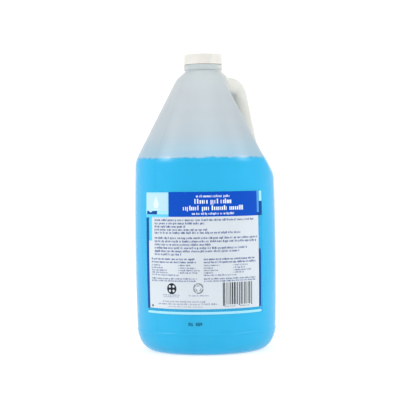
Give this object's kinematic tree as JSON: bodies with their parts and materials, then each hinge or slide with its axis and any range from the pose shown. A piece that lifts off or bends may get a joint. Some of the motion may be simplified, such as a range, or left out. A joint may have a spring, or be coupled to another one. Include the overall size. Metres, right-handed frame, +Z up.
{
  "type": "refill jug of lens cleaner",
  "caption": "Round translucent four-litre jug of blue lens cleaner with a hollow shoulder grip, threaded neck, screw cap with a liner disc, and a film label round the front.",
  "frame": {"origin": "centre of the ring that the jug stands on, on the jug's axis", "axes": "+Z up along the jug's axis, -Y towards the front of the label, +X to the right of someone reading it; the grip lies midway between +X and +Y"},
  "size_m": [0.1544, 0.1546, 0.3236],
  "materials": {
    "natural_plastic": "satin",
    "cap_plastic": "satin",
    "liner_foam": "matte",
    "lens_fluid": "gloss",
    "label_film": "satin"
  },
  "bodies": {
    "jug_body": {"jug": "natural_plastic", "lens_fluid": "lens_fluid", "front_label": "label_film"},
    "liner": {"cap_liner": "liner_foam"},
    "cap": {"screw_cap": "cap_plastic"}
  },
  "joints": [
    {"name": "cap_rise", "type": "slide", "parent": "jug_body", "child": "liner", "axis": [0, 0, 1], "range_m": [0, 0.0127]},
    {"name": "cap_turn", "type": "hinge", "parent": "liner", "child": "cap", "pos_m": [0, 0, 0.318], "axis": [0, 0, 1], "range_deg": [0, 1080]}
  ],
  "couplings": [
    {"joint": "cap_rise", "follows": "cap_turn", "m_per_rad": 0.0006737}
  ]
}
